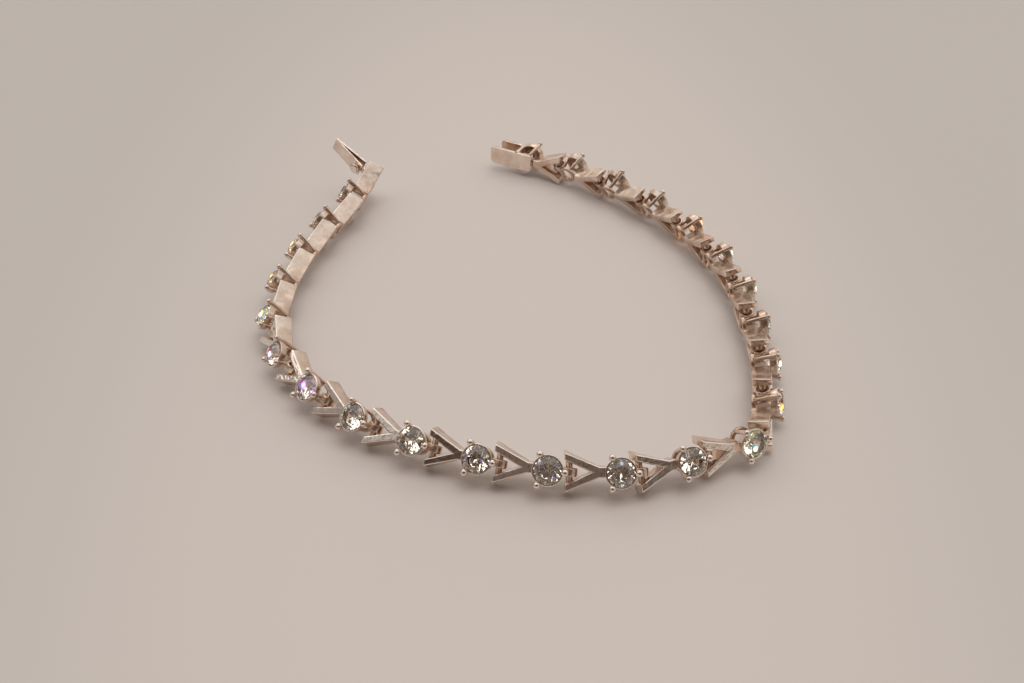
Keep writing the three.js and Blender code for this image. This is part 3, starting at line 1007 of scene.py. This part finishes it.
# The tent is white overhead, and low down it is brown in front and paler behind
overhead = add_node(tree, "ShaderNodeMapRange", links={"Value": parts["Z"], "From Max": 0.9})
backwards = add_node(tree, "ShaderNodeMapRange", {"interpolation_type": "SMOOTHSTEP"}, {
    "Value": parts["Y"], "From Min": 0.1, "From Max": 0.8,
})
low_down = add_node(tree, "ShaderNodeMix", {"data_type": "RGBA"}, {
    "Factor": backwards.outputs["Result"], 6: linear("#a8917f"), 7: linear("#e2d2c2"),
})
tent = add_node(tree, "ShaderNodeMix", {"data_type": "RGBA"}, {
    "Factor": overhead.outputs["Result"], 6: low_down.outputs[2], 7: linear("#fffaf6"),
})
# The opening in front is wider than it is high
widened = add_node(tree, "ShaderNodeVectorMath", {"operation": "MULTIPLY"}, {
    0: direction, 1: FRONT_WIDENED,
})
levelled = add_node(tree, "ShaderNodeVectorMath", {"operation": "NORMALIZE"}, {
    0: widened.outputs["Vector"],
})
towards_front = add_node(tree, "ShaderNodeVectorMath", {"operation": "DOT_PRODUCT"}, {
    0: levelled.outputs["Vector"], 1: FRONT_DIRECTION,
})
dimming = add_node(tree, "ShaderNodeMapRange", {"interpolation_type": "SMOOTHSTEP"}, {
    "Value": towards_front.outputs["Value"], "From Min": 0.79, "From Max": 0.93,
})
# The left wall of the tent lets the dim room through too, though less
to_left = add_node(tree, "ShaderNodeMapRange", {"interpolation_type": "SMOOTHSTEP"}, {
    "Value": parts["X"], "From Min": -0.55, "From Max": -0.9, "To Max": 0.62,
})
dimmest = add_node(tree, "ShaderNodeMath", {"operation": "MAXIMUM"}, {
    0: dimming.outputs["Result"], 1: to_left.outputs["Result"],
})
# The room has dark and less dark patches, so that the polished fronts are not all alike
patches = add_node(tree, "ShaderNodeTexNoise", links={
    "Vector": direction, "Scale": 6.0, "Detail": 2.0,
})
patched = add_node(tree, "ShaderNodeMapRange", links={
    "Value": patches.outputs["Fac"], "From Min": 0.4, "From Max": 0.65,
})
dim_room = add_node(tree, "ShaderNodeMix", {"data_type": "RGBA"}, {
    "Factor": patched.outputs["Result"], 6: linear("#453830"), 7: linear("#81726a"),
})
surroundings = add_node(tree, "ShaderNodeMix", {"data_type": "RGBA"}, {
    "Factor": dimmest.outputs[0], 6: tent.outputs[2], 7: dim_room.outputs[2],
})
tree.links.new(surroundings.outputs[2], sky.inputs["Color"])
# The tent is a little brighter on the left than on the right
sideways = add_node(tree, "ShaderNodeMapRange", links={
    "Value": parts["X"], "From Min": -1.0, "To Min": 0.88, "To Max": 0.78,
})
tree.links.new(sideways.outputs["Result"], sky.inputs["Strength"])
bpy.context.scene.world = world


def soft_box(name, place, width, height, power):
    """A lamp behind a square of white cloth, turned to the bracelet. Metres and watts."""
    lamp = bpy.data.lights.new(name, "AREA")
    lamp.shape = "RECTANGLE"
    lamp.size, lamp.size_y = width, height
    lamp.energy = power
    lamp.color = linear("#fff8f2")[:3]
    box_light = place_object(name, lamp)
    box_light.location = place
    aim = Vector((0, 0, 0)) - Vector(place)
    box_light.rotation_euler = aim.to_track_quat("-Z", "Y").to_euler()
    return box_light


soft_box("back_soft_box", (0.0, 0.26, 0.3), 0.34, 0.1, 0.12)
soft_box("left_soft_box", (-0.34, 0.04, 0.26), 0.1, 0.3, 0.07)
soft_box("right_soft_box", (0.34, 0.04, 0.26), 0.1, 0.3, 0.05)
top = soft_box("top_soft_box", (0.08, -0.07, 0.68), 0.55, 0.55, 1.75)
# The one overhead only lights the bracelet: its square isn't mirrored in the metal
top.visible_glossy = False

# Camera.
# The photo looks down on the open bracelet from the front at about 37 degrees, from close by.
CAMERA_TILT = 37.3
CAMERA_DISTANCE = 147.2
AIM_Y = -7.94
FOCAL_PIXELS = 1238
PHOTO_WIDTH = 1024
SENSOR_WIDTH = 36.0
tilt = math.radians(CAMERA_TILT)
camera = place_object("camera", bpy.data.cameras.new("camera"))
camera.data.sensor_width = SENSOR_WIDTH
camera.data.lens = FOCAL_PIXELS * SENSOR_WIDTH / PHOTO_WIDTH
camera.data.clip_start = 0.01
camera.location = Vector((
    0.0, -CAMERA_DISTANCE * math.cos(tilt) + AIM_Y, CAMERA_DISTANCE * math.sin(tilt),
)) * MM
camera.rotation_euler = Euler((math.pi / 2 - tilt, 0, 0))
bpy.context.scene.camera = camera
bpy.context.scene.view_settings.view_transform = "Standard"
